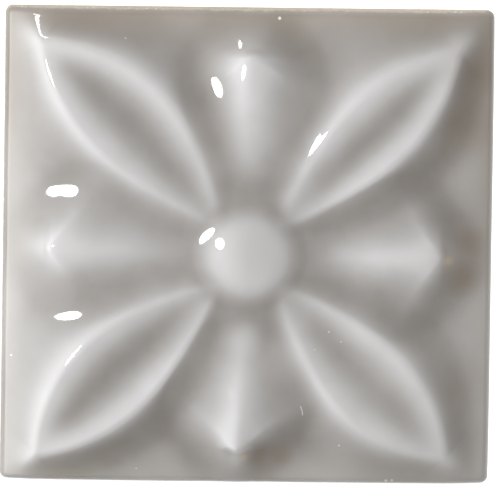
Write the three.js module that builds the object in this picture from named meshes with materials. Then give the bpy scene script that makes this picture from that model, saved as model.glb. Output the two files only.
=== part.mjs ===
// A pressed wall tile with a flower in relief, fired and glazed.
// Millimetres. +X is right, +Z is up and the face looks towards -Y.
// The origin is the centre of the back, on the plane that beds on the wall.

import * as THREE from 'three';

// Outside of the tile, glaze included
const tileWidth = 75;
const tileHeight = 73;
const centreThickness = 10;       // clay from the back to the ground under the flower
const edgeRounding = 0.9;         // radius along the edges of the face and round its corners
const backChamfer = 0.5;

// Pillowed ground, which falls away to the four edges
const pillowDrop = 3.9;           // at the middle of an edge
const pillowPower = 6.6;
const pillowSquareness = 10;

// Flower, measured from its own centre
const flowerRight = 0.2;          // from the tile's centre
const flowerUp = -0.7;
const moundHeight = 2.65;
const moundReach = 10.5;

// Fillets where two petals meet, wider near the boss than out at the tips
const leafBlendInner = 2.2;
const leafBlendOuter = 1.9;
const dartBlendInner = 2.5;
const dartBlendOuter = 2.1;
const blendChangesFrom = 14;
const blendChangesTo = 30;

// Round boss in the middle
const bossHeight = 4.05;
const bossSphere = 15;            // radius of the ball that its cap is cut from
const bossBlend = 0.6;

// Leaf petals, with a raised rim and a hollow
const leafStart = 6.4;
const leafRimStart = 1.5;
const leafHollowRound = 1.2;
const leafTipSlope = 0.53;
const leafCrestRound = 0.9;

// The four leaves as the hand-cut mould has them, with round in degrees from +X. The half width
// goes to the crest of the rim, and the bow is how far the axis bends sideways.
const leaves = [
  { round: 45.5, tip: 47.6, halfWidth: 5.4, bow: -0.05, rimMiddle: 3.1, rimTip: 3.35 },
  { round: 134.9, tip: 46.3, halfWidth: 6.25, bow: 1.3, rimMiddle: 3.25, rimTip: 2.15 },
  { round: 223.9, tip: 46.9, halfWidth: 6.35, bow: 0.9, rimMiddle: 3.3, rimTip: 2.25 },
  { round: 313.9, tip: 45.3, halfWidth: 5.75, bow: 0.1, rimMiddle: 3, rimTip: 1.8 },
];

// In the same order: how deep the hollow is, and how steep the flanks outside the rim are
const leafHollows = [0.95, 1.45, 1.45, 1.1];
const leafFlankSlopes = [0.56, 0.51, 0.67, 0.55];

// Darts between the leaves, with a straight crest and a blunt arrow end
const dartStart = 10.8;
const dartRise = 8.6;             // length in which the crest comes up
const dartShoulder = 25.5;        // where the flanks have the slope given for each
const dartFlankPower = 1.15;
const dartLeanWidth = 2;
const dartEndSlope = 0.85;
const dartEndTurn = 48.7;         // degrees between the end face and the axis
const dartEndBlend = 1;

// The lean is how much steeper one flank is than the mean of the two
const darts = [
  { round: 0, crestEnd: 27, height: 4.25, flankSlope: 0.47, crestRound: 1.75, lean: 0.02 },
  { round: 89.9, crestEnd: 30.1, height: 4, flankSlope: 0.46, crestRound: 2.1, lean: 0.06 },
  { round: 178.4, crestEnd: 30.5, height: 3.2, flankSlope: 0.31, crestRound: 1.05, lean: 0.015 },
  { round: 267.2, crestEnd: 27, height: 4.55, flankSlope: 0.42, crestRound: 1.2, lean: -0.025 },
];

// Glaze
const glazeOnCrests = 0.3;
const glazeInHollows = 0.8;
const glazeOnEdge = 0.2;
const edgeReached = 0.75;         // share of the rounding where the coat is down to its edge thickness
const poolingReaches = [1.7, 3.3, 5.4];
const poolingGain = 1.45;
const poolingShift = -0.05;

// Keyed back: level ribs between shallow grooves
const grooveWidth = 4.5;
const groovePitch = 8;
const grooveDepth = 0.9;
const grooveDraft = 0.5;          // the floor is this much narrower at each side
const backBorder = 5;

// Fineness of the facets
const faceStep = 1.6;
const edgeSteps = 2;
const cornerSteps = 3;
const grooveEndSteps = 6;
const poolingSamples = 10;

const bodyWidth = tileWidth - 2 * glazeOnEdge;
const bodyHeight = tileHeight - 2 * glazeOnEdge;
const quarterTurn = Math.PI / 2;

function smoothMax(a, b, blend) {
  const near = Math.max(blend - Math.abs(a - b), 0) / blend;
  return Math.max(a, b) + near * near * blend / 4;
}

function smoothMin(a, b, blend) {
  return -smoothMax(-a, -b, blend);
}

// A curve through three values, at share 0, one half and 1
function throughThree(start, middle, end, share) {
  const fromStart = start * (1 - share) * (1 - 2 * share);
  const fromMiddle = middle * 4 * share * (1 - share);
  const fromEnd = end * share * (2 * share - 1);
  return fromStart + fromMiddle + fromEnd;
}

// |v| with a round bottom
function roundedDistance(v, round) {
  return Math.hypot(v, round) - round;
}

// Leaf petal, with s along its axis and v across it
function leafHeight(s, v, leaf) {
  const share = (s - leafStart) / (leaf.tip - leafStart);
  const within = THREE.MathUtils.clamp(share, 0, 1);
  const arch = throughThree(0, 1, 0, within);
  const halfWidth = leaf.halfWidth * arch;
  const side = v + leaf.bow * arch;
  const rim = throughThree(leafRimStart, leaf.rimMiddle, leaf.rimTip, within);
  const across = roundedDistance(side, leafHollowRound) / Math.max(halfWidth, leafHollowRound);
  const inside = leaf.hollow * arch * (across - 1);
  const outside = -leaf.flankSlope * (Math.abs(side) - halfWidth);
  const pastEnds = Math.max(s - leaf.tip, 0) + Math.max(leafStart - s, 0);
  return rim + smoothMin(inside, outside, leafCrestRound) - leafTipSlope * pastEnds;
}

// Dart petal: a roof whose flanks steepen outwards, cut off by two end faces
function dartHeight(s, v, dart) {
  const fromCrest = roundedDistance(v, dart.crestRound);
  const risen = (s - dartStart) / dartRise;
  const crest = dart.height * (risen < 0 ? risen : 1 - Math.exp(-risen));
  const flank = dart.flankSlope + dart.lean * Math.tanh(v / dartLeanWidth);
  const roof = crest - flank * (s / dartShoulder) ** dartFlankPower * fromCrest;
  const turn = THREE.MathUtils.degToRad(dartEndTurn);
  const pastCrestEnd = (s - dart.crestEnd) * Math.cos(turn) + fromCrest * Math.sin(turn);
  return smoothMin(roof, dart.height - dartEndSlope * pastCrestEnd, dartEndBlend);
}

const leafForm = { heightAt: leafHeight, blendInner: leafBlendInner, blendOuter: leafBlendOuter };
const dartForm = { heightAt: dartHeight, blendInner: dartBlendInner, blendOuter: dartBlendOuter };
const petals = [
  ...leaves.map((leaf, i) => ({
    ...leaf,
    ...leafForm,
    hollow: leafHollows[i],
    flankSlope: leafFlankSlopes[i],
  })),
  ...darts.map((dart) => ({ ...dart, ...dartForm })),
];

// Height of the pressed flower over the pillowed ground
function flowerHeight(x, z) {
  const right = x - flowerRight;
  const up = z - flowerUp;
  const fromCentre = Math.hypot(right, up);
  const outwards = THREE.MathUtils.smoothstep(fromCentre, blendChangesFrom, blendChangesTo);
  let height = moundHeight * Math.exp(-((fromCentre / moundReach) ** 2) / 2);
  for (const petal of petals) {
    const turn = THREE.MathUtils.degToRad(petal.round);
    const s = right * Math.cos(turn) + up * Math.sin(turn);
    const v = up * Math.cos(turn) - right * Math.sin(turn);
    const blend = THREE.MathUtils.lerp(petal.blendInner, petal.blendOuter, outwards);
    if (s > 0) height = smoothMax(height, petal.heightAt(s, v, petal), blend);
  }
  const boss = bossHeight - fromCentre ** 2 / (2 * bossSphere);
  return smoothMax(height, boss, bossBlend);
}

// The glaze runs off the crests and pools in the hollows, which lie under the mean of three rings
// around them. This is how much thicker than on the crests it is.
function pooledDepth(x, z) {
  let around = 0;
  for (const reach of poolingReaches) {
    for (let i = 0; i < poolingSamples; i += 1) {
      const turn = 2 * Math.PI * i / poolingSamples;
      around += flowerHeight(x + reach * Math.cos(turn), z + reach * Math.sin(turn));
    }
  }
  const mean = around / (poolingReaches.length * poolingSamples);
  const hollow = poolingGain * (mean - flowerHeight(x, z)) + poolingShift;
  const pooled = (1 + Math.tanh(2 * hollow)) / 2;
  return (glazeInHollows - glazeOnCrests) * pooled;
}

// Distance of the clay face from the back, without the rounding of its edges. The mould is cut
// deeper where the glaze will pool.
function clayFace(x, z, pooled) {
  const acrossShare = Math.abs(2 * x / tileWidth) ** pillowSquareness;
  const upShare = Math.abs(2 * z / tileHeight) ** pillowSquareness;
  const fall = pillowDrop * (acrossShare + upShare) ** (pillowPower / pillowSquareness);
  return centreThickness - fall + flowerHeight(x, z) - pooled;
}

// Triangles by corner number, over points kept once each
class Skin {
  constructor() {
    this.points = [];
    this.corners = [];
  }

  add(points) {
    const first = this.points.length;
    this.points.push(...points);
    return points.map((point, i) => first + i);
  }

  triangle(a, b, c) {
    this.corners.push(a, b, c);
  }

  quad(a, b, c, d) {
    this.triangle(a, b, c);
    this.triangle(a, c, d);
  }

  // Band between two closed rows of as many points
  band(row, next) {
    row.forEach((a, i) => {
      const j = (i + 1) % row.length;
      this.quad(a, row[j], next[j], next[i]);
    });
  }

  mesh(name, material) {
    const geometry = new THREE.BufferGeometry();
    const numbers = this.points.flatMap((point) => point.toArray());
    geometry.setAttribute('position', new THREE.Float32BufferAttribute(numbers, 3));
    geometry.setIndex(this.corners);
    geometry.computeVertexNormals();
    const mesh = new THREE.Mesh(geometry, material);
    mesh.name = name;
    return mesh;
  }
}

// Grid of the face inside its rounded edges, with rows from the bottom up. One column and one row
// pass through the middle of the boss.
function gridLines(half, middle) {
  const before = Math.round((half + middle) / faceStep);
  const after = Math.round((half - middle) / faceStep);
  const lines = [];
  for (let i = 0; i < before; i += 1) lines.push(THREE.MathUtils.lerp(-half, middle, i / before));
  for (let i = 0; i <= after; i += 1) lines.push(THREE.MathUtils.lerp(middle, half, i / after));
  return lines;
}

const columnLines = gridLines(bodyWidth / 2 - edgeRounding, flowerRight);
const rowLines = gridLines(bodyHeight / 2 - edgeRounding, flowerUp);
const columns = columnLines.length - 1;
const rows = rowLines.length - 1;

// The grid's rim, counterclockwise seen from the front: each entry has its column and row,
// and a corner comes once for each point of its arc, with the way that the arc point faces
function rimPlaces() {
  const sides = [
    { count: columns, at: (i) => ({ column: i, row: 0 }), faces: -quarterTurn },
    { count: rows, at: (i) => ({ column: columns, row: i }), faces: 0 },
    { count: columns, at: (i) => ({ column: columns - i, row: rows }), faces: quarterTurn },
    { count: rows, at: (i) => ({ column: 0, row: rows - i }), faces: 2 * quarterTurn },
  ];
  const places = [];
  for (const side of sides) {
    for (let step = 1; step <= cornerSteps; step += 1) {
      const faces = side.faces - quarterTurn * (1 - step / cornerSteps);
      places.push({ cell: side.at(0), faces });
    }
    for (let i = 1; i < side.count; i += 1) places.push({ cell: side.at(i), faces: side.faces });
    places.push({ cell: side.at(side.count), faces: side.faces });
  }
  return places;
}

const rim = rimPlaces();

// A row of points round the edge of the clay, turned from the face (0) to the side (1)
function edgeRow(turned, glaze) {
  const angle = turned * quarterTurn;
  return rim.map(({ cell, faces }) => {
    const x = columnLines[cell.column];
    const z = rowLines[cell.row];
    const outX = Math.cos(faces);
    const outZ = Math.sin(faces);
    const reach = edgeRounding * Math.sin(angle);
    const clayX = x + reach * outX;
    const clayZ = z + reach * outZ;
    const pooled = pooledDepth(x, z);
    const depth = clayFace(clayX, clayZ, pooled) - edgeRounding * (1 - Math.cos(angle));
    const reached = THREE.MathUtils.smoothstep(turned, 0, edgeReached);
    const onFace = glazeOnCrests + pooled;
    const thickness = glaze ? THREE.MathUtils.lerp(onFace, glazeOnEdge, reached) : 0;
    const out = thickness * Math.sin(angle);
    const forward = depth + thickness * Math.cos(angle);
    return new THREE.Vector3(clayX + out * outX, -forward, clayZ + out * outZ);
  });
}

// The face and its rounded edges. Returns the last row, where the flat sides begin.
function addFace(skin, glaze) {
  const points = [];
  for (const z of rowLines) {
    for (const x of columnLines) {
      const pooled = pooledDepth(x, z);
      const thickness = glaze ? glazeOnCrests + pooled : 0;
      points.push(new THREE.Vector3(x, -clayFace(x, z, pooled) - thickness, z));
    }
  }
  const grid = skin.add(points);
  const at = (column, row) => grid[row * (columns + 1) + column];
  for (let row = 0; row < rows; row += 1) {
    for (let column = 0; column < columns; column += 1) {
      const right = columnLines[column] >= flowerRight;
      const above = rowLines[row] >= flowerUp;
      const a = at(column, row);
      const b = at(column + 1, row);
      const c = at(column + 1, row + 1);
      const d = at(column, row + 1);
      // The cut runs along the nearest leaf
      if (right === above) skin.quad(a, b, c, d);
      else skin.quad(b, c, d, a);
    }
  }
  let previous = rim.map(({ cell }) => at(cell.column, cell.row));
  let row = previous;
  for (let step = 1; step <= edgeSteps; step += 1) {
    row = skin.add(edgeRow(step / edgeSteps, glaze));
    row.forEach((outer, i) => {
      const j = (i + 1) % row.length;
      if (previous[i] === previous[j]) skin.triangle(previous[i], outer, row[j]);
      else skin.quad(previous[i], outer, row[j], previous[j]);
    });
    previous = row;
  }
  return row;
}

// One groove of the back: a stadium with its middle at the given height
function grooveRow(height, inset, depth) {
  const radius = grooveWidth / 2 - inset;
  const reach = bodyWidth / 2 - backBorder - grooveWidth / 2;
  const points = [];
  for (const side of [1, -1]) {
    for (let step = 0; step <= grooveEndSteps; step += 1) {
      const turn = side * quarterTurn - side * quarterTurn * 2 * step / grooveEndSteps;
      const x = side * (reach + radius * Math.cos(turn));
      points.push(new THREE.Vector3(x, -depth, height + radius * Math.sin(turn)));
    }
  }
  return points;
}

function grooveHeights() {
  const room = bodyHeight / 2 - backBorder - grooveWidth / 2 - groovePitch / 2;
  const pairs = 1 + Math.floor(room / groovePitch);
  const heights = [];
  for (let i = 0; i < pairs; i += 1) {
    const height = groovePitch * (i + 1 / 2);
    heights.push(height, -height);
  }
  return heights;
}

const flat = (point) => new THREE.Vector2(point.x, point.z);

// Closes a flat outline, less its holes, with faces that look towards +Y
function addFlat(skin, outline, holes) {
  const contour = outline.map((i) => flat(skin.points[i]));
  const cuts = holes.map((hole) => hole.map((i) => flat(skin.points[i])));
  const numbers = [...outline, ...holes.flat()];
  for (const [a, b, c] of THREE.ShapeUtils.triangulateShape(contour, cuts)) {
    const [first, second, third] = [a, b, c].map((i) => skin.points[numbers[i]]);
    const turn = flat(second).sub(flat(first)).cross(flat(third).sub(flat(first)));
    if (turn < 0) skin.triangle(numbers[a], numbers[b], numbers[c]);
    else skin.triangle(numbers[a], numbers[c], numbers[b]);
  }
}

function makeBody() {
  const skin = new Skin();
  const sideTop = addFace(skin, false);
  const sideEnd = sideTop.map((i) => {
    const { x, z } = skin.points[i];
    return new THREE.Vector3(x, -backChamfer, z);
  });
  const backRim = sideTop.map((i, place) => {
    const { x, z } = skin.points[i];
    const { faces } = rim[place];
    const inX = backChamfer * Math.cos(faces);
    const inZ = backChamfer * Math.sin(faces);
    return new THREE.Vector3(x - inX, 0, z - inZ);
  });
  const side = skin.add(sideEnd);
  const back = skin.add(backRim);
  skin.band(side, sideTop);
  skin.band(back, side);
  const mouths = [];
  for (const height of grooveHeights()) {
    const mouth = skin.add(grooveRow(height, 0, 0));
    const floor = skin.add(grooveRow(height, grooveDraft, grooveDepth));
    skin.band(mouth, floor);
    addFlat(skin, floor, []);
    mouths.push(mouth);
  }
  addFlat(skin, back, mouths);
  const bisque = new THREE.MeshStandardMaterial({ color: 0xd8c9b0, roughness: 0.85, metalness: 0 });
  return skin.mesh('fired_body', bisque);
}

// The coat lies on the clay with the same corners, and ends where the flat sides begin
function makeGlaze() {
  const outer = new Skin();
  const outerEnd = addFace(outer, true);
  const inner = new Skin();
  const innerEnd = addFace(inner, false);
  const numbers = outer.add(inner.points);
  for (let i = 0; i < inner.corners.length; i += 3) {
    const [a, b, c] = inner.corners.slice(i, i + 3).map((corner) => numbers[corner]);
    outer.triangle(a, c, b);
  }
  outer.band(innerEnd.map((i) => numbers[i]), outerEnd);
  const gloss = new THREE.MeshStandardMaterial({ color: 0xb9b6b0, roughness: 0.08, metalness: 0 });
  return outer.mesh('glaze_coat', gloss);
}

const group = new THREE.Group();
group.add(makeBody(), makeGlaze());

export default group;
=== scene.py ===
# Glazed relief tile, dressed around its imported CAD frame
import math

import bpy
import numpy as np
from mathutils import Matrix, Vector


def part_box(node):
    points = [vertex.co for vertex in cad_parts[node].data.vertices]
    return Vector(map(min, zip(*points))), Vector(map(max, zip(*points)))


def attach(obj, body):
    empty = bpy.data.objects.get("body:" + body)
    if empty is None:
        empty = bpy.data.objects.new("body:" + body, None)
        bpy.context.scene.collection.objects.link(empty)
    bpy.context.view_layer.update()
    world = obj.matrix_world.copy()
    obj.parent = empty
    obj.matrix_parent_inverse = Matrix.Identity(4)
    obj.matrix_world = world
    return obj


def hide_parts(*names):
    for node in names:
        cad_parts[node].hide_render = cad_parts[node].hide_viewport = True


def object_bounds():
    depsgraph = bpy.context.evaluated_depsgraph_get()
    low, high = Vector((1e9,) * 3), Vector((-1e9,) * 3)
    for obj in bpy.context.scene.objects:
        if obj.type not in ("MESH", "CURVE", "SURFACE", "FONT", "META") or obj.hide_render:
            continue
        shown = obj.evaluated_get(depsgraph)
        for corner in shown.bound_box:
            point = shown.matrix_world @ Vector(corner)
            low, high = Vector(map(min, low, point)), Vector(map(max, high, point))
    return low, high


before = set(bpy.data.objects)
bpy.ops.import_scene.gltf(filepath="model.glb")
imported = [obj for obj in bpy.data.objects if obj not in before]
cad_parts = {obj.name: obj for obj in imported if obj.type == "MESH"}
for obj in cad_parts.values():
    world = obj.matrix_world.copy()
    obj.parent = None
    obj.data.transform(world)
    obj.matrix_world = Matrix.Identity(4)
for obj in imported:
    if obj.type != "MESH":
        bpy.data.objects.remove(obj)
cadLow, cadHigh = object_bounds()
print("frame loaded")

mm = 0.001
tau = 2 * math.pi

# The tile's outside, read from the frame, in millimetres
glazeLow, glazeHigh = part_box("glaze_coat")
clayLow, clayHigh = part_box("fired_body")
tile = {
    "width": (glazeHigh.x - glazeLow.x) / mm,
    "height": (glazeHigh.z - glazeLow.z) / mm,
    "clayWidth": (clayHigh.x - clayLow.x) / mm,
    "clayHeight": (clayHigh.z - clayLow.z) / mm,
    "edgeRounding": 0.9,
    "backChamfer": 0.5,
    "centreThickness": 10.0,
    "pillowDrop": 3.9,
    "pillowPower": 6.7,
    "pillowSquareness": 10,
}

# The flower's forms, measured from its own centre, in millimetres and slopes
flower = {
    "centre": (0.15, -0.75),
    "moundHeight": 2.6,
    "moundReach": 10.9,
    "leafBlend": (1.9, 1.9),
    "dartBlend": (2.4, 2.8),
    "blendChanges": (14.0, 30.0),     # where the fillets change from the first radius to the second
    "bossHeight": 4.05,
    "bossSphere": 14.7,
    "bossBlend": 0.6,
    "leanWidth": 2.0,                 # how gradually one flank's slope turns into the other's over a crest
    "leafStart": 6.5,
    "leafRimStart": 1.4,
    "leafHollowRound": 1.5,
    "leafTipSlope": 0.33,
    "leafBluntness": 0.5,             # how much wider a leaf is towards its tip than at its foot
    "leafCrestRound": 0.55,
    "leafDrop": 0.27,                 # how much faster the flank falls at first, over what width,
    "leafDropWidth": 0.42,
    "leafDropFrom": 0.7,              # and how far inside the rim that begins
    "leafTipSpread": 0.5,
    "dartStart": 10.7,
    "dartRise": 8.6,
    "dartShoulder": 25.5,
    "dartFlankPower": 1.3,
    "dartEndBlend": 1.0,
    "dartDrop": 0.96,
    "dartDropWidth": 0.6,
    "dartTipSpread": 0.4,
}

# Each petal as it came out of a hand-cut mould: degrees round from the right, then millimetres and slopes.
# The lean is how much steeper one flank is than the mean of the two.
leafKeys = "round", "tip", "halfWidth", "bow", "rimMiddle", "rimTip", "hollow", "flankSlope", "lean"
leaves = [dict(zip(leafKeys, values)) for values in (
    (45.0, 44.8, 5.2, 0.0, 3.1, 2.1, 1.05, 0.52, -0.12),
    (134.9, 46.0, 6.35, 1.35, 2.9, 1.9, 1.35, 0.48, 0.0),
    (224.0, 45.2, 6.15, 0.95, 3.0, 1.8, 1.45, 0.56, 0.13),
    (314.2, 43.7, 5.95, 0.1, 2.8, 1.35, 1.1, 0.5, 0.05),
)]
dartKeys = "round", "crestEnd", "height", "flankSlope", "crestRound", "lean", "endTurn", "endSlope"
darts = [dict(zip(dartKeys, values)) for values in (
    (0.1, 29.2, 3.95, 0.39, 0.8, 0.005, 50.0, 0.76),
    (89.7, 30.5, 3.85, 0.46, 2.15, 0.045, 54.5, 0.69),
    (178.3, 30.6, 3.05, 0.33, 1.05, 0.04, 47.0, 0.66),
    (267.4, 29.8, 4.35, 0.43, 0.85, -0.01, 55.5, 0.84),
)]


def smoothMax(a, b, blend):
    # max(a, b) plus blend/4 where they are equal, fading to nothing where they differ by blend
    near = np.maximum(blend - np.abs(a - b), 0) / blend
    return np.maximum(a, b) + near * near * blend / 4


def smoothMin(a, b, blend):
    return -smoothMax(-a, -b, blend)


def smoothStep(low, high, x):
    # 3t^2 - 2t^3 with t running from 0 at low to 1 at high
    t = np.clip((x - low) / (high - low), 0, 1)
    return t * t * (3 - 2 * t)


def roundedDistance(v, roundness):
    # |v| with a round bottom: sqrt(v^2 + r^2) - r
    return np.hypot(v, roundness) - roundness


def leafHeight(s, v, leaf):
    # Along the axis the half-width is w = W 4t(1-t) (1 + c(t - 1/2)), the rim is a parabola through three
    # heights, and the axis bows sideways by b 4t(1-t). Across it the hollow is a rounded V up to w. Beyond
    # w the flank falls in a straight slope, plus a drop 1 - exp(-d) near the rim. Past the tip it widens.
    f = flower
    t = np.clip((s - f["leafStart"]) / (leaf["tip"] - f["leafStart"]), 0, 1)
    arch = 4 * t * (1 - t)
    halfWidth = leaf["halfWidth"] * arch * (1 + f["leafBluntness"] * (t - 0.5))
    v = v + leaf["bow"] * arch
    rim = f["leafRimStart"] * (1 - t) * (1 - 2 * t) + leaf["rimMiddle"] * arch
    rim = rim + leaf["rimTip"] * t * (2 * t - 1)
    across = roundedDistance(v, f["leafHollowRound"]) / np.maximum(halfWidth, f["leafHollowRound"])
    inside = leaf["hollow"] * arch * (across - 1)
    pastTip = np.maximum(s - leaf["tip"], 0)
    fromRim = np.hypot(v, f["leafTipSpread"] * pastTip) - halfWidth
    dropped = 1 - np.exp(-np.maximum(fromRim + f["leafDropFrom"], 0) / f["leafDropWidth"])
    flank = leaf["flankSlope"] + leaf["lean"] * np.tanh(v / f["leanWidth"])
    outside = -flank * fromRim - f["leafDrop"] * arch * dropped
    pastEnds = pastTip + np.maximum(f["leafStart"] - s, 0)
    return rim + smoothMin(inside, outside, f["leafCrestRound"]) - f["leafTipSlope"] * pastEnds


def dartHeight(s, v, dart):
    # A roof whose crest climbs straight to its start and as 1 - exp(-s) after it, and whose flanks steepen
    # with s, cut by two end faces that are turned from the axis, start with a drop and widen where they meet
    f = flower
    fromCrest = roundedDistance(v, dart["crestRound"])
    risen = (s - f["dartStart"]) / f["dartRise"]
    crest = dart["height"] * (np.minimum(risen, 0) + 1 - np.exp(-np.maximum(risen, 0)))
    steepening = (np.maximum(s, 0) / f["dartShoulder"]) ** f["dartFlankPower"]
    flank = dart["flankSlope"] + dart["lean"] * np.tanh(v / f["leanWidth"])
    roof = crest - flank * steepening * fromCrest
    turn = math.radians(dart["endTurn"])
    spread = dart["crestRound"] + f["dartTipSpread"] * np.maximum(s - dart["crestEnd"], 0)
    aside = np.hypot(v, spread) - dart["crestRound"]
    past = (s - dart["crestEnd"]) * math.cos(turn) + aside * math.sin(turn)
    dropped = f["dartDrop"] * (1 - np.exp(-np.maximum(past, 0) / f["dartDropWidth"]))
    return smoothMin(roof, dart["height"] - dart["endSlope"] * past - dropped, f["dartEndBlend"])


def flowerHeight(x, z):
    # Smooth maximum of a low mound, four leaves, four darts and the boss, a cap z = h - r^2/2R
    f = flower
    across, up = x - f["centre"][0], z - f["centre"][1]
    fromCentre = np.hypot(across, up)
    height = f["moundHeight"] * np.exp(-((fromCentre / f["moundReach"]) ** 2) / 2)
    outwards = smoothStep(*f["blendChanges"], fromCentre)
    for petals, petalHeight, (inner, outer) in (
        (leaves, leafHeight, f["leafBlend"]),
        (darts, dartHeight, f["dartBlend"]),
    ):
        blend = inner + (outer - inner) * outwards
        for petal in petals:
            turn = math.radians(petal["round"])
            s = across * math.cos(turn) + up * math.sin(turn)
            v = up * math.cos(turn) - across * math.sin(turn)
            height = np.where(s > 0, smoothMax(height, petalHeight(s, v, petal), blend), height)
    boss = f["bossHeight"] - fromCentre**2 / (2 * f["bossSphere"])
    return smoothMax(height, boss, f["bossBlend"])


# The coat of glaze: thicknesses and runs in millimetres, and the fineness of its mesh
glaze = {
    "onCrests": 0.3,
    "inHollows": 0.8,
    "onEdge": 0.2,
    "lipShare": 0.5,         # of onEdge that is left where the coat ends
    "edgeBlend": 0.75,       # share of the arris's turn by which the coat has the thickness of the edge
    "poolingReach": (1.7, 3.3, 5.4),
    "poolingGain": 1.45,
    "poolingShift": -0.05,
    "flankShadeGain": 1.2,        # painted shade: steep flanks are painted darker, by this times their slope squared
    "slopeStep": 0.15,       # over which the slope is measured
    "barerOnTop": 0.05,      # share of the way out by which the clay shows sooner on the upper edge
    "poolingSamples": 10,
    "edgeTintReach": 2.8,    # the edge tint reaches in this far: thinner glaze at the top, painted light at the lower edge
    "columns": 236,          # both are even, because the under side has half as many
    "rows": 230,
    "edgeRows": 12,
    "arrisShare": 0.6,       # share of the edge rows that goes round the arris
    "sideRun": 0.8,          # how far the coat runs back along the flat sides
    "sideRunVaries": 1.2,
    "leastRun": 0.12,
    "runSeed": 11,
    "runWaves": (7, 13, 23, 41, 67, 113),
}


def pooling(x, z):
    # How far a point lies under the mean of three rings around it, negative on a crest
    around, count = 0, 0
    for reach in glaze["poolingReach"]:
        for i in range(glaze["poolingSamples"]):
            turn = tau * i / glaze["poolingSamples"]
            around = around + flowerHeight(x + reach * math.cos(turn), z + reach * math.sin(turn))
            count += 1
    return glaze["poolingGain"] * (around / count - flowerHeight(x, z)) + glaze["poolingShift"]


def steepness(x, z):
    # Square of the flower's slope, from differences over a short step each way
    step = glaze["slopeStep"]
    across = (flowerHeight(x + step, z) - flowerHeight(x - step, z)) / (2 * step)
    up = (flowerHeight(x, z + step) - flowerHeight(x, z - step)) / (2 * step)
    return across**2 + up**2


def softShare(amount):
    # The soft step 1/2 + tanh(2a)/2, from 0 to 1
    return 0.5 + np.tanh(2 * amount) / 2


def pooledDepth(hollow):
    # How much thicker than on the crests the coat is
    return (glaze["inHollows"] - glaze["onCrests"]) * softShare(hollow)


def clayFace(x, z, hollow):
    # Thickness less a squared-off pillow |(x, z)|^p, plus the flower, less the glaze that pools on it
    t = tile
    acrossShare = np.abs(2 * x / t["width"]) ** t["pillowSquareness"]
    upShare = np.abs(2 * z / t["height"]) ** t["pillowSquareness"]
    fall = t["pillowDrop"] * (acrossShare + upShare) ** (t["pillowPower"] / t["pillowSquareness"])
    return t["centreThickness"] - fall + flowerHeight(x, z) - pooledDepth(hollow)


def wave(share, seed, counts):
    # Mean of sines round the tile's rim, each with a whole number of waves and a seeded phase
    phases = np.random.default_rng(seed).uniform(0, tau, len(counts))
    return sum(np.sin(tau * share * count + phase) for count, phase in zip(counts, phases)) / len(counts)


def roundedGrid(columns, rows, edgeRows):
    # A rectangle of cells with edgeRows more on each side: its place on the flat part, its way out, and rho,
    # which is 0 on the flat and 1 at the outer ring. In a corner block a square ring becomes a quarter
    # circle: the angle is an eighth of a turn times the smaller share over the larger.
    j, i = np.mgrid[-edgeRows : rows + edgeRows + 1, -edgeRows : columns + edgeRows + 1].astype(float)
    flatX, flatZ = np.clip(i, 0, columns), np.clip(j, 0, rows)
    outX, outZ = (i - flatX) / edgeRows, (j - flatZ) / edgeRows
    rho = np.maximum(np.abs(outX), np.abs(outZ))
    smaller = np.minimum(np.abs(outX), np.abs(outZ))
    angle = tau / 8 * smaller / np.where(rho > 0, rho, 1)
    angle = np.where(np.abs(outX) >= np.abs(outZ), angle, tau / 4 - angle)
    wayX = np.where(rho > 0, np.cos(angle) * np.sign(outX), 0)
    wayZ = np.where(rho > 0, np.sin(angle) * np.sign(outZ), 0)
    halfX = tile["clayWidth"] / 2 - tile["edgeRounding"]
    halfZ = tile["clayHeight"] / 2 - tile["edgeRounding"]
    return halfX * (2 * flatX / columns - 1), halfZ * (2 * flatZ / rows - 1), wayX, wayZ, rho


def gridQuads(shape):
    # Corner numbers of a grid's cells, counterclockwise seen from the front
    number = np.arange(shape[0] * shape[1]).reshape(shape[:2])
    cells = number[:-1, :-1], number[:-1, 1:], number[1:, 1:], number[1:, :-1]
    return np.stack([cell.ravel() for cell in cells], 1)


def outerRing(shape):
    # Numbers of a grid's outer ring, counterclockwise seen from the front
    number = np.arange(shape[0] * shape[1]).reshape(shape[:2])
    return np.concatenate([number[0, :-1], number[:-1, -1], number[-1, :0:-1], number[:0:-1, 0]])


def stitch(coarse, fine):
    # Triangles between a ring and one of twice as many points that starts beside it
    nextCoarse = np.roll(coarse, -1)
    first, middle, last = fine[0::2], fine[1::2], np.roll(fine[0::2], -1)
    return np.concatenate([
        np.stack([coarse, middle, first], 1),
        np.stack([coarse, nextCoarse, middle], 1),
        np.stack([nextCoarse, last, middle], 1),
    ])


def makePiece(name, points, quads, triangles):
    # One mesh from arrays: points in millimetres, then its four-sided and three-sided faces
    mesh = bpy.data.meshes.new(name)
    mesh.vertices.add(len(points))
    mesh.vertices.foreach_set("co", (points * mm).astype(np.float32).ravel())
    corners = np.concatenate([quads.ravel(), triangles.ravel()]).astype(np.int32)
    counts = np.concatenate([np.full(len(quads), 4), np.full(len(triangles), 3)]).astype(np.int32)
    mesh.loops.add(len(corners))
    mesh.loops.foreach_set("vertex_index", corners)
    mesh.polygons.add(len(counts))
    mesh.polygons.foreach_set("loop_start", (np.cumsum(counts) - counts).astype(np.int32))
    mesh.polygons.foreach_set("use_smooth", np.ones(len(counts), bool))
    mesh.update(calc_edges=True)
    mesh.validate()
    piece = bpy.data.objects.new(name, mesh)
    bpy.context.scene.collection.objects.link(piece)
    return piece


def addAttribute(piece, name, values):
    attribute = piece.data.attributes.new(name, "FLOAT", "POINT")
    attribute.data.foreach_set("value", np.asarray(values, np.float32).ravel())


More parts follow.
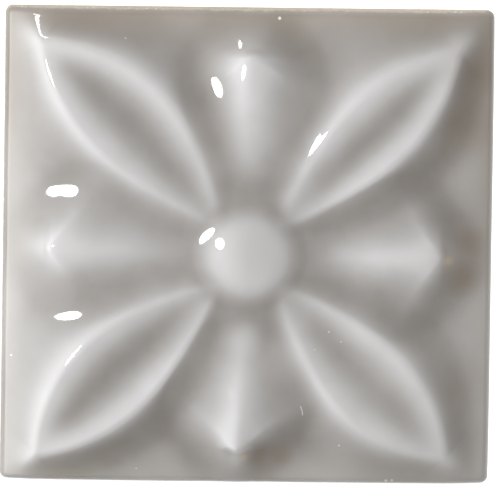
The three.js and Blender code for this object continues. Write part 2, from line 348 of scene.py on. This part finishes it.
def faceSkin(halving, coat):
    # The face, its arris and the start of its sides, as a grid of points. The arris turns through a quarter
    # circle in the first share of rho, and the side then runs straight back to an uneven line. The coat
    # moves each point out along the edge's own direction by the thickness that it has there.
    g = glaze
    cells = (g[way] // halving for way in ("columns", "rows", "edgeRows"))
    x, z, wayX, wayZ, rho = roundedGrid(*cells)
    turned = np.clip(rho / g["arrisShare"], 0, 1)
    angle = turned * tau / 4
    share = np.arctan2(z, x) / tau
    run = g["sideRun"] + g["sideRunVaries"] * wave(share, g["runSeed"], g["runWaves"])
    run = np.maximum(run, g["leastRun"])
    down = run * np.clip((rho - g["arrisShare"]) / (1 - g["arrisShare"]), 0, 1)
    reach = tile["edgeRounding"] * np.sin(angle)
    clayX, clayZ = x + reach * wayX, z + reach * wayZ
    hollow = pooling(x, z)
    forward = clayFace(clayX, clayZ, hollow) - tile["edgeRounding"] * (1 - np.cos(angle)) - down
    # The tone: darker where the glaze pools in the hollows, and painted shade on steep flanks
    pooledAndShaded = softShare(hollow + g["flankShadeGain"] * steepness(x, z))
    thickness = 0 * x
    if coat:
        onFace = g["onCrests"] + pooledDepth(hollow)
        onEdge = g["onEdge"] * (1 - (1 - g["lipShare"]) * smoothStep(g["arrisShare"], 1, rho))
        thickness = onFace + (onEdge - onFace) * smoothStep(0, g["edgeBlend"], turned)
    out = thickness * np.sin(angle)
    forward = forward + thickness * np.cos(angle)
    points = np.stack([clayX + out * wayX, -forward, clayZ + out * wayZ], -1)
    bareness = rho + g["barerOnTop"] * wayZ
    fromEdge = np.minimum(tile["width"] / 2 - np.abs(x), tile["height"] / 2 - np.abs(z))
    nearEdge = np.exp(-fromEdge / g["edgeTintReach"])
    return points, {"poolingAndFlankShade": pooledAndShaded, "bareness": bareness, "nearEdge": nearEdge}


def makeGlazeCoat():
    top, topTones = faceSkin(1, True)
    under, underTones = faceSkin(2, False)
    topCount = top.shape[0] * top.shape[1]
    points = np.concatenate([top.reshape(-1, 3), under.reshape(-1, 3)])
    quads = np.concatenate([gridQuads(top.shape), gridQuads(under.shape)[:, ::-1] + topCount])
    lip = stitch(outerRing(under.shape) + topCount, outerRing(top.shape))
    piece = makePiece("glaze_skin", points, quads, lip)
    for name, tones in topTones.items():
        addAttribute(piece, name, np.concatenate([tones.ravel(), underTones[name].ravel()]))
    return piece


# The clay behind the glaze: its sides and its keyed back, in millimetres
clay = {
    "grooveWidth": 4.5,
    "groovePitch": 8.0,
    "grooveDepth": 0.9,
    "grooveShoulder": 0.6,
    "border": 5.0,
    "sideRows": 12,
    "sideHollow": 0.06,       # how far the sides dip in here and there
    "sideSeed": 5,
    "sideWaves": (5, 11, 19, 37, 71, 131),
}


def backDepth(x, z):
    # Each groove is a stadium: with d the distance to its middle line, the depth steps smoothly
    # from nothing at half the width to full at a shoulder's width inside it.
    c = clay
    room = tile["clayHeight"] / 2 - c["border"] - c["grooveWidth"] / 2 - c["groovePitch"] / 2
    upper = c["groovePitch"] * (np.arange(1 + math.floor(room / c["groovePitch"])) + 0.5)
    pastEnd = np.maximum(np.abs(x) - (tile["clayWidth"] / 2 - c["border"] - c["grooveWidth"] / 2), 0)
    depth = 0 * x
    for centre in np.concatenate([-upper, upper]):
        inside = c["grooveWidth"] / 2 - np.hypot(pastEnd, z - centre)
        depth = np.maximum(depth, c["grooveDepth"] * smoothStep(0, c["grooveShoulder"], inside))
    return depth


def makeFiredBody():
    face, _ = faceSkin(2, False)
    x, z, wayX, wayZ, rho = roundedGrid(glaze["columns"], glaze["rows"], glaze["edgeRows"])
    rounding, chamfer = tile["edgeRounding"], tile["backChamfer"]
    # The back's profile runs flat to the chamfer, then through its quarter circle
    flatShare = (rounding - chamfer) / rounding
    angle = np.clip((rho - flatShare) / (1 - flatShare), 0, 1) * tau / 4
    reach = np.minimum(rho, flatShare) * rounding + chamfer * np.sin(angle)
    rearX, rearZ = x + reach * wayX, z + reach * wayZ
    rear = np.stack([rearX, -backDepth(rearX, rearZ) - chamfer * (1 - np.cos(angle)), rearZ], -1)
    # Between the two, the sides: rows from the ring of the back to the ring where the glaze ends
    rearRing = outerRing(rear.shape)
    ring = rear.reshape(-1, 3)[rearRing]
    outX, outZ = wayX.ravel()[rearRing], wayZ.ravel()[rearRing]
    coarse = face.reshape(-1, 3)[outerRing(face.shape)]
    glazeEnd = np.stack([coarse[:, 1], (coarse[:, 1] + np.roll(coarse[:, 1], -1)) / 2], 1).ravel()
    t = np.arange(1, clay["sideRows"] + 1)[:, None] / (clay["sideRows"] + 1)
    share = np.arctan2(ring[:, 2], ring[:, 0]) / tau
    dip = wave(share, clay["sideSeed"], clay["sideWaves"])[None, :] * np.sin(tau * t / 2)
    dip = clay["sideHollow"] * (dip - dip.min())
    sideY = ring[:, 1] + (glazeEnd - ring[:, 1]) * t
    sides = np.stack([ring[:, 0] - dip * outX, sideY, ring[:, 2] - dip * outZ], -1)
    rearCount, sideCount = rear.shape[0] * rear.shape[1], sides.shape[0] * sides.shape[1]
    points = np.concatenate([rear.reshape(-1, 3), sides.reshape(-1, 3), face.reshape(-1, 3)])
    rings = np.concatenate([rearRing[None, :], rearCount + np.arange(sideCount).reshape(sides.shape[:2])])
    around = np.roll(rings, -1, 1)
    bands = np.stack([r.ravel() for r in (rings[:-1], around[:-1], around[1:], rings[1:])], 1)
    faceQuads = gridQuads(face.shape) + rearCount + sideCount
    quads = np.concatenate([gridQuads(rear.shape)[:, ::-1], bands, faceQuads])
    joint = stitch(outerRing(face.shape) + rearCount + sideCount, rings[-1])[:, ::-1]
    piece = makePiece("clay_skin", points, quads, joint)
    sunk = np.zeros(len(points))
    sunk[:rearCount] = backDepth(rearX, rearZ).ravel() / clay["grooveDepth"]
    addAttribute(piece, "sunk", sunk)
    return piece


class Nodes:
    # Short calls for adding nodes to the tree of one material or world and joining them

    def __init__(self, owner):
        owner.use_nodes = True
        self.tree = owner.node_tree
        self.coordinates = self.add("ShaderNodeTexCoord").outputs
        self.place = self.coordinates["Object"]

    def add(self, kind, inputs=None, **settings):
        node = self.tree.nodes.new(kind)
        for name, value in settings.items():
            setattr(node, name, value)
        for name, value in (inputs or {}).items():
            self.join(value, node.inputs[name])
        return node

    def join(self, value, socket):
        if isinstance(value, bpy.types.NodeSocket):
            self.tree.links.new(value, socket)
        else:
            socket.default_value = value

    def attribute(self, name):
        return self.add("ShaderNodeAttribute", attribute_name=name).outputs["Fac"]

    def noise(self, scale, detail=2.0, roughness=0.5):
        inputs = {"Vector": self.place, "Scale": scale, "Detail": detail, "Roughness": roughness}
        return self.add("ShaderNodeTexNoise", inputs).outputs["Fac"]

    def spots(self, scale, randomness=1.0):
        # How far a point lies from the middle of the nearest spot
        inputs = {"Vector": self.place, "Scale": scale, "Randomness": randomness}
        return self.add("ShaderNodeTexVoronoi", inputs).outputs["Distance"]

    def mapRange(self, value, fromLow, fromHigh, toLow=0.0, toHigh=1.0, smooth=False):
        inputs = {"Value": value, "From Min": fromLow, "From Max": fromHigh}
        inputs.update({"To Min": toLow, "To Max": toHigh})
        kind = "SMOOTHSTEP" if smooth else "LINEAR"
        return self.add("ShaderNodeMapRange", inputs, interpolation_type=kind).outputs["Result"]

    def maths(self, operation, a, b=0.0):
        node = self.add("ShaderNodeMath", operation=operation)
        self.join(a, node.inputs[0])
        self.join(b, node.inputs[1])
        return node.outputs[0]

    def distanceOnFace(self, right, up):
        # How far a point lies from (right, up) as seen from the front, in metres
        flat = self.add("ShaderNodeVectorMath", operation="MULTIPLY")
        self.join(self.place, flat.inputs[0])
        flat.inputs[1].default_value = (1, 0, 1)
        apart = self.add("ShaderNodeVectorMath", operation="DISTANCE")
        self.join(flat.outputs[0], apart.inputs[0])
        apart.inputs[1].default_value = (right * mm, 0, up * mm)
        return apart.outputs["Value"]

    def mixColours(self, share, a, b):
        node = self.add("ShaderNodeMix", data_type="RGBA")
        self.join(share, node.inputs["Factor"])
        for socket, value in zip((node.inputs[6], node.inputs[7]), (a, b)):
            self.join(value if isinstance(value, bpy.types.NodeSocket) else (*value, 1), socket)
        return node.outputs[2]

    def ramp(self, value, stops):
        node = self.add("ShaderNodeValToRGB", {"Fac": value})
        elements = node.color_ramp.elements
        for i, (position, colour) in enumerate(stops):
            element = elements[i] if i < 2 else elements.new(position)
            element.position, element.color = position, (*colour, 1)
        return node.outputs["Color"]

    def bump(self, height, distance, strength):
        inputs = {"Height": height, "Distance": distance, "Strength": strength}
        return self.add("ShaderNodeBump", inputs).outputs["Normal"]

    def finishSurface(self, looks):
        # Each look goes to the surface's input of that name
        surface = self.tree.nodes["Principled BSDF"]
        for name, value in looks.items():
            self.join(value, surface.inputs[name])


def linear(*srgb):
    # A colour given as 0 to 255 numbers of a screen, in light
    c = np.array(srgb) / 255
    return tuple(np.where(c <= 0.04045, c / 12.92, ((c + 0.055) / 1.055) ** 2.4))


# The fired glaze: colours from thin on the crests to pooled in the hollows, darker on steep flanks as
# painted shade, then where it thins towards the edges and paler towards the lower edge as painted light,
# where it breaks over the clay, where iron bled into it, clouds of painted light and shade, and painted
# glints where a bubble burst
glazeLook = {
    "stops": ((0.0, (197, 196, 197)), (1.0, (119, 114, 108))),
    "nearTopEdge": (160, 147, 129),
    # painted light: paler grey towards the lower edge
    "paintedLightLowEdge": (190, 185, 178),
    "nearEdgeShare": 0.6,
    "thinOverClay": (196, 184, 166),
    "breakFrom": 0.3,
    "breakTo": 0.62,
    # iron stains, and the same colour for the painted shade of some clouds
    "ironAndShade": (116, 98, 76),
    "thin": (190, 172, 148),
    # painted light, then painted shade on the boss, for the clouds below
    "pale": (212, 211, 210),
    "paintedBossShade": (172, 171, 170),
    # painted glints: near-white spots on beads and burst bubbles
    "paintedGlint": (236, 233, 226),
    "glintFrom": 0.35,
    "roughness": 0.05,
    "breakRoughness": 0.4,
    "ior": 1.5,
    "edgeTintOver": (-0.02, 0.02),     # heights between which the edge tint turns from painted light at the lower edge to browner at the top, in metres
    "cloudScale": 160,
    "cloudShare": 0.05,
    "breakScale": 700,
    "breakVaries": 0.08,
    "glintScale": 850,
    "glintSize": (0.13, 0.2),          # shares of a cell at which a painted glint is full and gone
    "rippleScale": 260,
    "rippleHeight": 0.000004,
    "rippleStrength": 0.25,
}

# Painted glints on beads and burst bubbles of the glaze: millimetres right and up of the tile's middle,
# radius and strength
glintMarks = (
    (4.4, 35.4, 0.3, 1.0),
    (-36.0, -17.0, 0.2, 0.8),
    (14.4, -30.1, 0.2, 0.5),
    (12.5, -12.3, 0.17, 0.5),
    (14.4, -13.8, 0.15, 0.4),
    (10.4, -15.1, 0.15, 0.4),
    (-16.6, -34.3, 0.17, 0.5),
    (21.8, -35.9, 0.3, 0.7),
    (22.7, -35.8, 0.25, 0.6),
    (-19.2, 32.3, 0.17, 0.4),
)
# Clouds of colour in the glaze: millimetres right and up of the tile's middle, radius and strength. The iron
# and thin clouds at the right and lower tips are stains; the others are painted light and shade.
stainsAndPaintedTones = (
    ("ironAndShade", 31.5, -1.0, 5.0, 0.35),
    ("ironAndShade", 33.5, -4.5, 4.0, 0.35),
    ("ironAndShade", 34.0, 1.5, 3.5, 0.3),
    ("ironAndShade", 1.5, -31.5, 3.5, 0.4),
    ("ironAndShade", 5.5, -32.0, 3.0, 0.3),
    # painted shade: the next four darken the right-hand field and a valley above the middle
    ("ironAndShade", 32.4, 19.0, 7.0, 0.25),
    ("ironAndShade", 33.5, 27.0, 6.0, 0.2),
    ("ironAndShade", 33.5, -21.0, 6.0, 0.15),
    ("ironAndShade", -5.7, 17.5, 5.5, 0.12),
    ("thin", 30.6, -1.2, 1.3, 0.7),
    ("thin", -0.5, -31.9, 1.2, 0.6),
    # painted light: the next five lighten places on the lower half
    ("pale", -0.8, -13.6, 4.0, 0.35),
    ("pale", 5.6, -16.6, 5.5, 0.16),
    ("pale", 19.5, -21.2, 8.0, 0.12),
    ("pale", 14.0, -35.0, 7.0, 0.2),
    ("pale", -15.3, -5.7, 4.5, 0.1),
    # painted shade: darker over the boss
    ("paintedBossShade", 0.2, 0.3, 9.0, 0.55),
)
# A short curved scratch, painted bright as a glint, as an arc of a circle: the circle's middle and radius,
# the arc's middle and reach
scratch = {"circle": (5.5, -25.4, 3.2), "arc": (8.65, -24.6, 0.9), "halfWidth": 0.13, "share": 0.55}


def glazeMaterial():
    look = glazeLook
    material = bpy.data.materials.new("grey_gloss_glaze")
    s = Nodes(material)
    cloud = s.mapRange(s.noise(look["cloudScale"], 3), 0.3, 0.7, -look["cloudShare"], look["cloudShare"])
    # The pooling, with its painted shade on steep flanks, sets the tone along the ramp
    depth = s.maths("ADD", s.attribute("poolingAndFlankShade"), cloud)
    colour = s.ramp(depth, [(at, linear(*c)) for at, c in look["stops"]])
    tint = s.maths("MULTIPLY", s.attribute("nearEdge"), look["nearEdgeShare"])
    # Near the edges: browner at the top where the glaze thins, paler towards the bottom as painted light
    up = s.add("ShaderNodeSeparateXYZ", {"Vector": s.place}).outputs["Z"]
    towardsTop = s.mapRange(up, *look["edgeTintOver"], smooth=True)
    edgeColour = s.mixColours(towardsTop, linear(*look["paintedLightLowEdge"]), linear(*look["nearTopEdge"]))
    colour = s.mixColours(tint, colour, edgeColour)
    # Clouds: iron stains at the tips, painted light and painted shade elsewhere
    for name, right, up, radius, share in stainsAndPaintedTones:
        toneShare = s.mapRange(s.distanceOnFace(right, up), 0, radius * mm, share, 0, smooth=True)
        colour = s.mixColours(toneShare, colour, linear(*look[name]))
    uneven = s.mapRange(s.noise(look["breakScale"], 2), 0.3, 0.7, -look["breakVaries"], look["breakVaries"])
    bare = s.maths("ADD", s.attribute("bareness"), uneven)
    broken = s.mapRange(bare, look["breakFrom"], look["breakTo"], smooth=True)
    colour = s.mixColours(broken, colour, linear(*look["thinOverClay"]))
    # Painted glints: near-white spots along the arris, at single marks and along the scratch
    arrisGlints = s.mapRange(s.spots(look["glintScale"]), *look["glintSize"], 1, 0, smooth=True)
    arrisGlints = s.maths("MULTIPLY", arrisGlints, s.mapRange(bare, look["glintFrom"], look["breakTo"]))
    colour = s.mixColours(arrisGlints, colour, linear(*look["paintedGlint"]))
    for right, up, radius, share in glintMarks:
        glintShare = s.mapRange(s.distanceOnFace(right, up), 0.5 * radius * mm, radius * mm, share, 0, smooth=True)
        colour = s.mixColours(glintShare, colour, linear(*look["paintedGlint"]))
    right, up, radius = scratch["circle"]
    offCircle = s.maths("ABSOLUTE", s.maths("SUBTRACT", s.distanceOnFace(right, up), radius * mm))
    line = s.mapRange(offCircle, 0, scratch["halfWidth"] * mm, scratch["share"], 0)
    right, up, reach = scratch["arc"]
    ends = s.mapRange(s.distanceOnFace(right, up), 0.7 * reach * mm, reach * mm, 1, 0)
    colour = s.mixColours(s.maths("MULTIPLY", line, ends), colour, linear(*look["paintedGlint"]))
    roughness = s.mapRange(broken, 0, 1, look["roughness"], look["breakRoughness"])
    ripples = s.bump(s.noise(look["rippleScale"], 2), look["rippleHeight"], look["rippleStrength"])
    s.finishSurface({"Base Color": colour, "Roughness": roughness, "IOR": look["ior"], "Normal": ripples})
    return material


# The bare fired clay of the sides and the back: fine buff grains, iron specks, scuffed ribs, and painted
# shade in the grooves
clayLook = {
    "pale": (219, 205, 184),
    "dark": (205, 188, 163),
    "grain": (188, 170, 146),
    "speck": (142, 117, 92),
    "grooveShade": (168, 150, 126),
    "grooveShadeShare": 0.6,
    "scuff": (230, 220, 204),
    "scuffShare": 0.45,
    "grainShare": 0.6,
    "speckShare": 0.6,
    "speckSize": (0.12, 0.2),         # shares of a cell at which a speck is full and gone
    "cloudScale": 70,
    "grainScale": 2600,
    "speckScale": 900,
    "grooveShadeScale": 220,
    "scuffScale": 340,
    "pitScale": 1800,
    "pitDepth": 0.00012,
    "pitStrength": 0.7,
    "roughness": 0.9,
}


def clayMaterial():
    look = clayLook
    material = bpy.data.materials.new("buff_bisque")
    s = Nodes(material)
    cloud = s.mapRange(s.noise(look["cloudScale"], 4, 0.6), 0.35, 0.65)
    colour = s.mixColours(cloud, linear(*look["dark"]), linear(*look["pale"]))
    grains = s.mapRange(s.noise(look["grainScale"], 2), 0.55, 0.7, 0.0, look["grainShare"])
    colour = s.mixColours(grains, colour, linear(*look["grain"]))
    specks = s.mapRange(s.spots(look["speckScale"]), *look["speckSize"], look["speckShare"], 0.0)
    colour = s.mixColours(specks, colour, linear(*look["speck"]))
    # Painted shade: darker in the grooves, unevenly
    sunk = s.attribute("sunk")
    grooveShade = s.mapRange(s.noise(look["grooveShadeScale"], 3), 0.3, 0.6, 0.5 * look["grooveShadeShare"], look["grooveShadeShare"])
    colour = s.mixColours(s.maths("MULTIPLY", sunk, grooveShade), colour, linear(*look["grooveShade"]))
    scuffs = s.mapRange(s.noise(look["scuffScale"], 4, 0.7), 0.56, 0.66, 0.0, look["scuffShare"])
    scuffs = s.maths("MULTIPLY", scuffs, s.mapRange(sunk, 0, 0.1, 1, 0))
    colour = s.mixColours(scuffs, colour, linear(*look["scuff"]))
    pits = s.bump(s.noise(look["pitScale"], 5, 0.65), look["pitDepth"], look["pitStrength"])
    s.finishSurface({"Base Color": colour, "Roughness": look["roughness"], "Normal": pits})
    return material


glazeSkin = makeGlazeCoat()
glazeSkin.data.materials.append(glazeMaterial())
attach(glazeSkin, "root")
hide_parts("glaze_coat")
print("glaze made:", len(glazeSkin.data.polygons), "faces")

claySkin = makeFiredBody()
claySkin.data.materials.append(clayMaterial())
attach(claySkin, "root")
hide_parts("fired_body")
print("clay made:", len(claySkin.data.polygons), "faces")

# What the camera sees: the photo's frame and where the tile lies in it, in its pixels
view = {
    "width": 499,
    "height": 487,
    "tileWidth": 489.2,
    "tileMiddle": (247.3, 246.5),
    "lens": 1500.0,
    "elevation": math.radians(7.0),
    "left": math.radians(1.7),
    "roll": math.radians(0.85),
}


def makeCamera():
    # At the tile from a little above and left, at the distance that gives the tile its width in pixels
    data = bpy.data.cameras.new("camera")
    data.lens = view["lens"]
    pixel = tile["width"] * mm / view["tileWidth"]
    distance = view["width"] * pixel * view["lens"] / data.sensor_width
    level = math.cos(view["elevation"])
    leftward, forward = math.sin(view["left"]), math.cos(view["left"])
    away = Vector((-leftward * level, -forward * level, math.sin(view["elevation"])))
    right = Vector((forward, -leftward, 0))
    up = away.cross(right)
    turn = Matrix.Rotation(view["roll"], 3, away)
    right, up = turn @ right, turn @ up
    edgePlane = Vector((0, -(tile["centreThickness"] - tile["pillowDrop"]) * mm, 0))
    acrossBy = (view["width"] / 2 - view["tileMiddle"][0]) * pixel
    upBy = (view["tileMiddle"][1] - view["height"] / 2) * pixel
    place = edgePlane + right * acrossBy + up * upBy + away * distance
    camera = bpy.data.objects.new("camera", data)
    bpy.context.scene.collection.objects.link(camera)
    camera.matrix_world = Matrix.Translation(place) @ Matrix((right, up, away)).transposed().to_4x4()
    bpy.context.scene.camera = camera


# Lights, by where they stand seen from the tile: degrees off the way it faces, and degrees round that
# way with 0 to the right and 90 up. Sizes are in degrees too.
lamps = {
    "window": {"off": 33.4, "round": 166.3, "size": (9.0, 12.0), "radiance": 76.0},
    "ceiling": {"off": 73.0, "round": 108.0, "size": (8.0, 4.0), "radiance": 20.0},
}
lampDistance = 1.2


def makeLamp(name, settings):
    # An area light of even radiance L gives pi L A watts
    off, roundBy = math.radians(settings["off"]), math.radians(settings["round"])
    widths = [2 * lampDistance * math.tan(math.radians(angle) / 2) for angle in settings["size"]]
    light = bpy.data.lights.new(name, "AREA")
    light.shape = "ELLIPSE"
    light.size, light.size_y = widths
    light.energy = math.pi * settings["radiance"] * math.pi / 4 * widths[0] * widths[1]
    away = Vector((
        math.sin(off) * math.cos(roundBy),
        -math.cos(off),
        math.sin(off) * math.sin(roundBy),
    ))
    lamp = bpy.data.objects.new(name, light)
    bpy.context.scene.collection.objects.link(lamp)
    turn = away.to_track_quat("Z", "Y").to_matrix().to_4x4()
    lamp.matrix_world = Matrix.Translation(away * lampDistance) @ turn


# The room around: an even dim level with a broad cool glow from the left, as light and as the gloss shows
# it, and a white backdrop on the far side of the tile
room = {
    "warm": (1.0, 0.98, 0.95),
    "cool": (0.98, 1.0, 1.03),
    "lightLevel": 0.425,
    "lightGlow": 0.62,
    "shownLevel": 0.43,
    "shownGlow": 8.4,
    "glowFrom": -0.1,        # leftward part of a direction at which the glow begins, and is full
    "glowTo": 1.57,
    "backdrop": 1.0,
    "backdropFrom": -0.05,   # far side's part of a direction at which the backdrop begins, and is full
    "backdropTo": 0.25,
}


def makeWorld():
    # Warm level plus cool glow times a smooth step of how far left a direction points, and the backdrop by a
    # smooth step of how far back it points. The camera sees plain white.
    world = bpy.data.worlds.new("surround")
    bpy.context.scene.world = world
    s = Nodes(world)
    ray = s.add("ShaderNodeLightPath").outputs
    way = s.add("ShaderNodeSeparateXYZ", {"Vector": s.coordinates["Generated"]}).outputs
    toLeft = s.mapRange(way["X"], -room["glowFrom"], -room["glowTo"], smooth=True)
    toBack = s.mapRange(way["Y"], room["backdropFrom"], room["backdropTo"], smooth=True)
    backdrop = (room["backdrop"],) * 3
    levels = []
    for kind in ("light", "shown"):
        even = np.array(room["warm"]) * room[kind + "Level"]
        full = even + np.array(room["cool"]) * room[kind + "Glow"]
        levels.append(s.mixColours(toBack, s.mixColours(toLeft, even, full), backdrop))
    level = s.mixColours(ray["Is Glossy Ray"], *levels)
    level = s.mixColours(ray["Is Camera Ray"], level, (1, 1, 1))
    s.join(level, s.tree.nodes["Background"].inputs["Color"])


# The glow is for the camera alone
floorLook = {
    "halfWidth": 3.0,
    "colour": (0.78, 0.78, 0.77),
    "roughness": 0.9,
    "glow": 0.8,
}


def makeFloor():
    # A wide pale floor under the tile's lower edge, which the gloss doesn't show
    look = floorLook
    half, level = look["halfWidth"], cadLow.z
    corners = [(-half, -half, level), (half, -half, level), (half, half, level), (-half, half, level)]
    mesh = bpy.data.meshes.new("floor")
    mesh.from_pydata(corners, [], [(0, 1, 2, 3)])
    floor = bpy.data.objects.new("floor", mesh)
    bpy.context.scene.collection.objects.link(floor)
    floor.visible_glossy = False
    material = bpy.data.materials.new("pale_floor")
    s = Nodes(material)
    glow = s.mapRange(s.add("ShaderNodeLightPath").outputs["Is Camera Ray"], 0, 1, 0.0, look["glow"])
    s.finishSurface({
        "Base Color": (*look["colour"], 1),
        "Roughness": look["roughness"],
        "Emission Color": (1, 1, 1, 1),
        "Emission Strength": glow,
    })
    mesh.materials.append(material)


makeCamera()
for lampName, lampSettings in lamps.items():
    makeLamp(lampName, lampSettings)
makeWorld()
makeFloor()
bpy.context.scene.view_settings.view_transform = "Standard"
print("camera and lights set")
